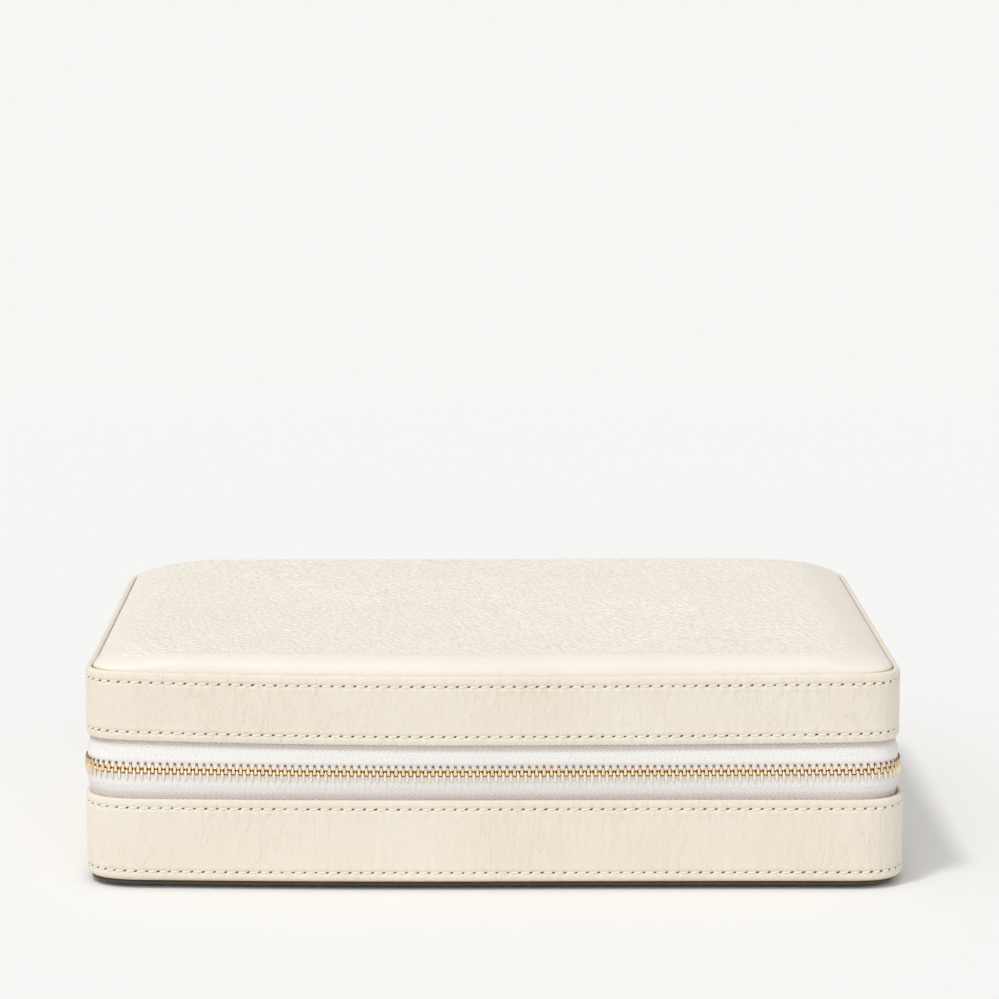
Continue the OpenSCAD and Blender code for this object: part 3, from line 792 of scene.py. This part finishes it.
# CAD nodes that stay, with softened edges.
for part in ("base_zip_stops", "lid_zip_stops", "zip_slider", "slider_bail", "zip_pull"):
    NODES[part].data.materials.clear()
    NODES[part].data.materials.append(GOLD)
    modified(NODES[part], *EDGED)


# ---------------------------------------------------------------- spine

def spine(name, outer, inner, mat, slot, node, bulge):
    """A strip between the lid and the base along the back, by the hinge's axis."""
    x = np.linspace(TAPE_END_X - 0.3, 0.3 - TAPE_END_X, 150)
    section = np.array(outer + inner[::-1])
    u, z = section[:, 0], section[:, 1]
    xx, uu = np.meshgrid(x, u, indexing="ij")
    zz = np.broadcast_to(z, xx.shape)
    out = np.array([1.0] * len(outer) + [0.0] * len(inner))[None, :]
    middle = np.exp(-((zz - ZIP_Z) / 6.0) ** 2)
    uu = uu + out * (bulge * middle * waves(xx, zz * 3, 61, 7, 24.0)
                     - 0.10 * middle * (0.5 + 0.5 * np.cos(zz * 2 * math.pi / 1.9)) ** 3)
    y = CY + R + uu
    o = grid(name, np.stack([xx, y, zz], -1), mat)
    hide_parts(node)
    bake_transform(o)


def flipped(pairs):
    """The same (u, z) pairs on the other side of the zip's middle."""
    return [(u, 2 * ZIP_Z - z) for u, z in pairs[::-1]]


low = [(-1.42, 24.0), (-1.42, 25.4), (-1.35, 26.2), (-1.1, 26.9), (-0.85, 27.6)]
mid = [(-0.72, z) for z in np.linspace(28.3, 40.2, 35)]
back = [(-1.98, z) for z in np.linspace(24.0, 44.5, 40)]
spine("spine_strip", low + mid + flipped(low), back, BAND, "cream_leather", "spine_leather", 0.07)
front = [(-2.1, z) for z in np.linspace(26.3, 42.2, 34)]
back = [(-2.75, z) for z in np.linspace(26.3, 42.2, 34)]
spine("spine_inner_strip", front, back, LINING, "suede_lining", "spine_lining", 0.02)


# ---------------------------------------------------------------- lining of the base and the lid

def rounded(u_out, u_in, z0, z1, top):
    """A wall section: flat at the bottom and round at the top, or the other way up for the lid."""
    r = (u_out - u_in) / 2
    turn = arc(u_in + r, 0, r, 0, 180, 6)[1:-1]
    if top:
        zs = list(np.linspace(z0, z1 - r, 9))
        return [(u_out, z) for z in zs] + [(u, z1 - r + h) for u, h in turn] + [(u_in, z) for z in zs[::-1]]
    zs = list(np.linspace(z0 + r, z1, 9))
    return [(u_out, z) for z in zs] + [(u_in, z) for z in zs[::-1]] + [(u, z0 + r - h) for u, h in turn[::-1]]


def wall(body, z0, z1, top):
    """The padded inner wall, with a seam below its free edge."""
    section = np.array(rounded(-4.5, -6.5, z0, z1, top))
    n = 420
    s = (np.arange(n) * LOOP / n)[:, None]
    u, z = section[None, :, 0] + 0 * s, section[None, :, 1] + 0 * s
    inner = (section[:, 0] < -5.5)[None, :]
    z_free = z1 if top else z0
    puff = np.clip(np.abs(z - z_free) / 4.0, 0, 1) * inner
    u = u - 0.25 * puff + 0.12 * puff * waves(s, z, 71, 6, 26.0)
    seam = np.exp(-((np.abs(z - z_free) - 2.6) / 0.5) ** 2) * inner
    u = u + 0.35 * seam
    o = grid(body + "_suede_wall", place(s, u, z), LINING, closed=True)
    done(o, body, "suede_lining", body + "_inner_wall")


wall("base", 5.5, 34.1, True)
wall("lid", 34.4, 59.0, False)


def flat_lining(name, z, below, body, node, up):
    """A lining sheet on the floor (up is 1) or the ceiling (up is -1), with slow waves in it."""
    u = -4.5
    edge = [(u, z - up * 0.9), (u, z - up * 0.35), (u - 0.35, z)]

    def shape(P, T):
        wavy = waves(P[..., 0], P[..., 1], 81, 6, 40.0) * smooth(T, 0.0, 0.05)
        P[..., 2] += up * 0.10 * wavy - up * 0.1 * (T > 0)
        return P, {}

    o = panel(name, 320, edge, 36, LINING, [(u - 1.0, below)], shape)
    if up < 0:
        o.data.flip_normals()
    done(o, body, "suede_lining", node)


flat_lining("base_suede_floor", 6.5, 5.55, "base", "base_floor_lining", 1)
flat_lining("lid_suede_ceiling", 59.0, 59.95, "lid", "lid_ceiling_lining", -1)


def slab(name, x1, y1, x2, y2, node):
    """A padded divider with a round top, pinched a little where it meets the walls."""
    length = math.hypot(x2 - x1, y2 - y1)
    way = np.array([(x2 - x1) / length, (y2 - y1) / length])
    side = np.array([way[1], -way[0]])
    n = max(int(length / 1.6), 12)
    t = np.linspace(0, 1, n)[:, None]
    half, z0, z1 = 1.5, 6.5, 30.0
    right = [(half, z) for z in np.linspace(z0, z1 - half, 12)]
    left = [(-half, z) for z in np.linspace(z1 - half, z0, 12)]
    section = np.array(right + arc(0, z1 - half, half, 0, 180, 9)[1:-1] + left)
    off, z = section[None, :, 0] + 0 * t, section[None, :, 1] + 0 * t
    end = np.minimum(t, 1 - t) * length
    belly = 1 + 0.10 * np.sin(np.clip((z - z0) / (z1 - z0), 0, 1) * math.pi)
    belly = belly - 0.16 * np.exp(-(end / 1.6) ** 2)
    seam = 1 - 0.16 * np.exp(-((z - (z1 - 2.4)) / 0.45) ** 2)
    off = off * belly * seam + 0.07 * waves(t * length, z, 91 + x1, 5, 20.0)
    sag = 0.25 * np.exp(-(end / 2.5) ** 2) - 0.08 * waves(t * length, 0 * z, 95, 4, 24.0)
    z = np.where(z > z1 - half, z - sag, z)
    xy = np.array([x1, y1]) + t[..., None] * length * way + off[..., None] * side
    done(grid(name, np.concatenate([xy, z[..., None]], -1), LINING), "base", "suede_lining", node)


slab("divider_ring_bay", -36, -81.4, -36, 81.4, "ring_bay_divider")
slab("divider_ring_front", -113.4, -13.5, -37.5, -13.5, "ring_front_divider")
slab("divider_cross", -34.5, 0, 113.4, 0, "cross_divider")
slab("divider_front", 39.5, -81.4, 39.5, -1.5, "front_divider")
slab("divider_rear", 64, 1.5, 64, 81.4, "rear_divider")


# ---------------------------------------------------------------- ring rolls, swollen by a cloth simulation

def mesh_of(o):
    """The object's mesh with its modifiers applied."""
    bpy.context.view_layer.update()
    depsgraph = bpy.context.evaluated_depsgraph_get()
    return bpy.data.meshes.new_from_object(o.evaluated_get(depsgraph))


def apply_all(o):
    old = o.data
    o.data = mesh_of(o)
    o.modifiers.clear()
    bpy.data.meshes.remove(old)


ROLL_Y = [73.45 - 15.5 * k for k in range(6)]
ROLL_X = (-113.4, -37.7)
FARTHEST = 0.0011  # how far the cloth may move, in metres


def rough_roll(k, y):
    """A roll before it swells: a bar with a round top, a little smaller than its space."""
    half, z0, z1 = 6.6, 7.2, 26.0
    right = [(half, z) for z in np.linspace(z0 + 1.5, z1 - half, 6)]
    left = [(-half, z) for z in np.linspace(z1 - half, z0 + 1.5, 6)]
    foot = [(-half + 1.2, z0), (0, z0), (half - 1.2, z0)]
    section = np.array(right + arc(0, z1 - half, half, 0, 180, 13)[1:-1] + left + foot)
    x = np.linspace(ROLL_X[0] + 0.8, ROLL_X[1] - 0.8, 30)
    xx = np.broadcast_to(x[:, None], (30, len(section)))
    P = np.stack([xx, y - section[None, :, 0] + 0 * xx, section[None, :, 1] + 0 * xx], -1)
    o = grid("ring_roll_pad_%d" % (k + 1), P, LINING)
    modified(o, ("REMESH", {"mode": "VOXEL", "voxel_size": 0.0019}))
    apply_all(o)
    return o


rolls = [rough_roll(k, y) for k, y in enumerate(ROLL_Y)]
starts = [np.array([v.co for v in o.data.vertices]) for o in rolls]
for k, o in enumerate(rolls):
    c = o.modifiers.new("cloth", "CLOTH").settings
    c.use_pressure = True
    c.uniform_pressure_force = 4.0 + 0.5 * (k % 3)
    c.effector_weights.gravity = 0
    c.tension_stiffness = c.compression_stiffness = 12
    c.bending_stiffness = 0.3
for f in range(1, 21):
    SCENE.frame_set(f)
for o in rolls:
    apply_all(o)
SCENE.frame_set(1)
for k, (o, y, old) in enumerate(zip(rolls, ROLL_Y, starts)):
    co = np.array([v.co for v in o.data.vertices])
    if len(co) == len(old):
        move = co - old
        far = np.linalg.norm(move, axis=1, keepdims=True)
        co = old + move * np.minimum(1, FARTHEST / np.maximum(far, 1e-9))
    co /= MM
    lift = np.clip((co[:, 2] - 12) / 14, 0, 1)
    co[:, 2] += 0.35 * lift * waves(co[:, 0], co[:, 1] * 0.5, 101 + k, 5, 26.0)
    co[:, 0] = np.clip(co[:, 0], *ROLL_X)
    co[:, 1] = y + np.clip(co[:, 1] - y, -7.6, 7.6)
    co[:, 2] = np.clip(co[:, 2], 6.55, 27.6)
    o.data.vertices.foreach_set("co", (co * MM).astype(np.float32).reshape(-1))
    modified(o, ("SMOOTH", {"factor": 0.5, "iterations": 2}), ("SUBSURF", {"levels": 1, "render_levels": 1}))
    apply_all(o)
    o.data.polygons.foreach_set("use_smooth", [True] * len(o.data.polygons))
    done(o, "base", "suede_lining", "ring_roll_%d" % (k + 1))


# ---------------------------------------------------------------- lid pocket and its elastic


def pocket():
    """A suede sheet, sewn flat to the ceiling on three sides and gathered into an elastic at the fourth."""
    nx, ny = 250, 60
    x = np.linspace(-104, 104, nx)[:, None]
    y = np.linspace(-78, 18, ny)[None, :]
    side = smooth(104 - np.abs(x), 0.0, 9.0)
    depth = 6.6 * side * smooth(y, -78, -30) + 0.5
    gather = smooth(y, -60, 18) ** 1.5 * side
    pleat = np.sin(2 * math.pi * (x / 8.6 + 0.16 * waves(x, y * 0.25, 111, 5, 50.0) * 3))
    small = np.sin(2 * math.pi * (x / 3.4 + 0.2 * waves(x, y * 0.3, 113, 5, 30.0) * 3))
    z = 58.9 - depth - gather * (0.75 * pleat + 0.28 * small) + 0.25 * side * waves(x, y, 117, 6, 36.0)
    z = np.minimum(z, 58.8)
    X, Y = np.broadcast_to(x, z.shape), np.broadcast_to(y, z.shape)
    under = np.stack([X, Y, z], -1)
    over = np.stack([X, Y, np.minimum(z + 0.8, 59.0)], -1)
    P = np.concatenate([under, over[:, ::-1]], 1)
    o = grid("lid_pocket_sheet", P, LINING)
    t = np.linspace(-1, 1, 900)[:, None]
    a = np.linspace(0, 2 * math.pi, 16, endpoint=False)[None, :]
    r = 1.45 + 0.22 * np.sin(t * 104 * 2 * math.pi / 2.3 + 0.7 * np.sin(a)) + 0.08 * np.sin(t * 531 + 2 * a)
    cz = 52.3 + 6.0 * (1 - smooth(1 - np.abs(t), 0.0, 0.09)) * 0.8
    E = np.stack([t * 104 + 0 * a, 19.2 - r * np.cos(a), cz + r * np.sin(a)], -1)
    e = grid("pocket_gathered_edge", E, LINING)
    done(o, "lid", "suede_lining", "lid_pocket")
    done(e, "lid", "suede_lining", "pocket_elastic")


pocket()


# ---------------------------------------------------------------- necklace straps and snaps

def lathe(name, x, y, profile, mat, count=40):
    """A turned part from (radius, z) pairs, going up along its outside."""
    a = np.linspace(0, 2 * math.pi, count, endpoint=False)
    prof = np.array(profile)
    P = np.stack([x + prof[:, 0, None] * np.cos(a), y + prof[:, 0, None] * np.sin(a),
                  prof[:, 1, None] + 0 * a], -1)
    n, m = P.shape[:2]
    return mesh(name, P, [f[::-1] for f in quads(n, m) + ends(n, m)], mat)


STRAP_X = (-72, -24, 24, 72)
SNAP_Y = 49
CAP = [(0.05, 54.62), (1.1, 54.60), (1.5, 54.42), (2.0, 54.30), (3.1, 54.42), (3.75, 54.72), (4.0, 55.1),
       (3.9, 55.4), (3.6, 55.62)]
STUD = [(1.9, 57.35), (2.1, 57.5), (2.0, 57.9), (2.1, 58.2), (3.1, 58.35), (3.25, 58.6), (3.2, 58.98)]

for k, x in enumerate(STRAP_X):
    y = np.concatenate([np.linspace(74.0, 51.0, 60), 50 - 6 * np.sin(np.linspace(0.0, math.pi / 2, 14))])
    y = y[:, None]
    half = np.where(y > 50, 6.0, np.sqrt(np.clip(36 - (50 - y) ** 2, 0.02, 36)))
    a = np.linspace(0, 2 * math.pi, 28, endpoint=False)[None, :]
    across = np.sign(np.cos(a)) * np.abs(np.cos(a)) ** 0.35
    thick = np.sign(np.sin(a)) * np.abs(np.sin(a)) ** 0.6
    sewn = 1.7 * smooth(y, 66.6, 72.5)
    hem = np.exp(-((np.abs(across) - 0.80) / 0.06) ** 2) * 0.16
    tip = np.minimum(1.0, half / 3.0) ** 0.5
    z = 56.4 + sewn + (0.8 * tip - hem) * thick + 0.10 * waves(y, across * 3, 121 + k, 4, 14.0)
    P = np.stack([x + half * across, y + 0 * a, z], -1)
    o = grid("necklace_tab_%d" % (k + 1), P, LINING)
    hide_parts("necklace_strap_%d" % (k + 1), "strap_tails")
    o.data.flip_normals()
    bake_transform(o)
    cap = lathe("snap_top_%d" % (k + 1), x, SNAP_Y, CAP, GOLD)
    done(cap, "strap_%d" % (k + 1), "gold_metal", "snap_cap_%d" % (k + 1))
    done(lathe("snap_stud_%d" % (k + 1), x, SNAP_Y, STUD, GOLD), "lid", "gold_metal", "snap_studs")


# ---------------------------------------------------------------- floor and backdrop

BACKDROP = srgb(247, 246, 244)
FLOOR = (0.880, 0.876, 0.866, 1.0)
GROUND = -0.0010  # height of the floor, in metres


def stage_material():
    """Pale paint by the object, which turns into an even backdrop away from it."""
    m = Nodes("studio_paper")
    c = m.add("ShaderNodeTexCoord", "Object")
    flat = m.add("ShaderNodeVectorMath", 0, {0: c, 1: (1, 1, 0)}, operation="MULTIPLY")
    away = m.add("ShaderNodeVectorMath", 1, {0: flat}, operation="LENGTH")
    grain = m.noise(c, 900, 2)
    m.put(m.bsdf.inputs["Base Color"], m.mix(grain, FLOOR, tuple(v * 0.998 for v in FLOOR[:3]) + (1,)))
    m.bsdf.inputs["Roughness"].default_value = 1.0
    m.bsdf.inputs["Specular IOR Level"].default_value = 0.0
    glow = m.tree.nodes.new("ShaderNodeEmission")
    glow.inputs["Color"].default_value = BACKDROP
    mix = m.tree.nodes.new("ShaderNodeMixShader")
    m.put(mix.inputs[0], m.ramp(away, 0.55, 1.2))
    m.put(mix.inputs[1], m.bsdf.outputs[0])
    m.put(mix.inputs[2], glow.outputs[0])
    m.put(m.tree.nodes["Material Output"].inputs["Surface"], mix.outputs[0])
    return m.mat


PAPER = stage_material()


def bowl(name, profile):
    """A round surface from (radius, height) pairs in metres, closed in the middle if it starts there."""
    a = np.linspace(0, 2 * math.pi, 96, endpoint=False)
    prof = np.array(profile) / MM
    P = np.stack([prof[:, 0, None] * np.cos(a), prof[:, 0, None] * np.sin(a), prof[:, 1, None] + 0 * a], -1)
    n, m = P.shape[:2]
    faces = quads(n, m)
    if profile[0][0] < 0.01:
        faces.append(list(range(m)))
    return mesh(name, P, faces, PAPER, bow=False)


floor = bowl("floor", [(r, GROUND) for r in (0.005, 0.3, 0.8, 1.6)])
curve = [(1.6 + 2.0 * math.sin(a), 2.0 * (1 - math.cos(a)) + GROUND) for a in np.linspace(0, math.pi / 2, 24)]
backdrop = bowl("backdrop", curve + [(3.6, 3.5)])
backdrop.visible_shadow = backdrop.visible_diffuse = backdrop.visible_glossy = False
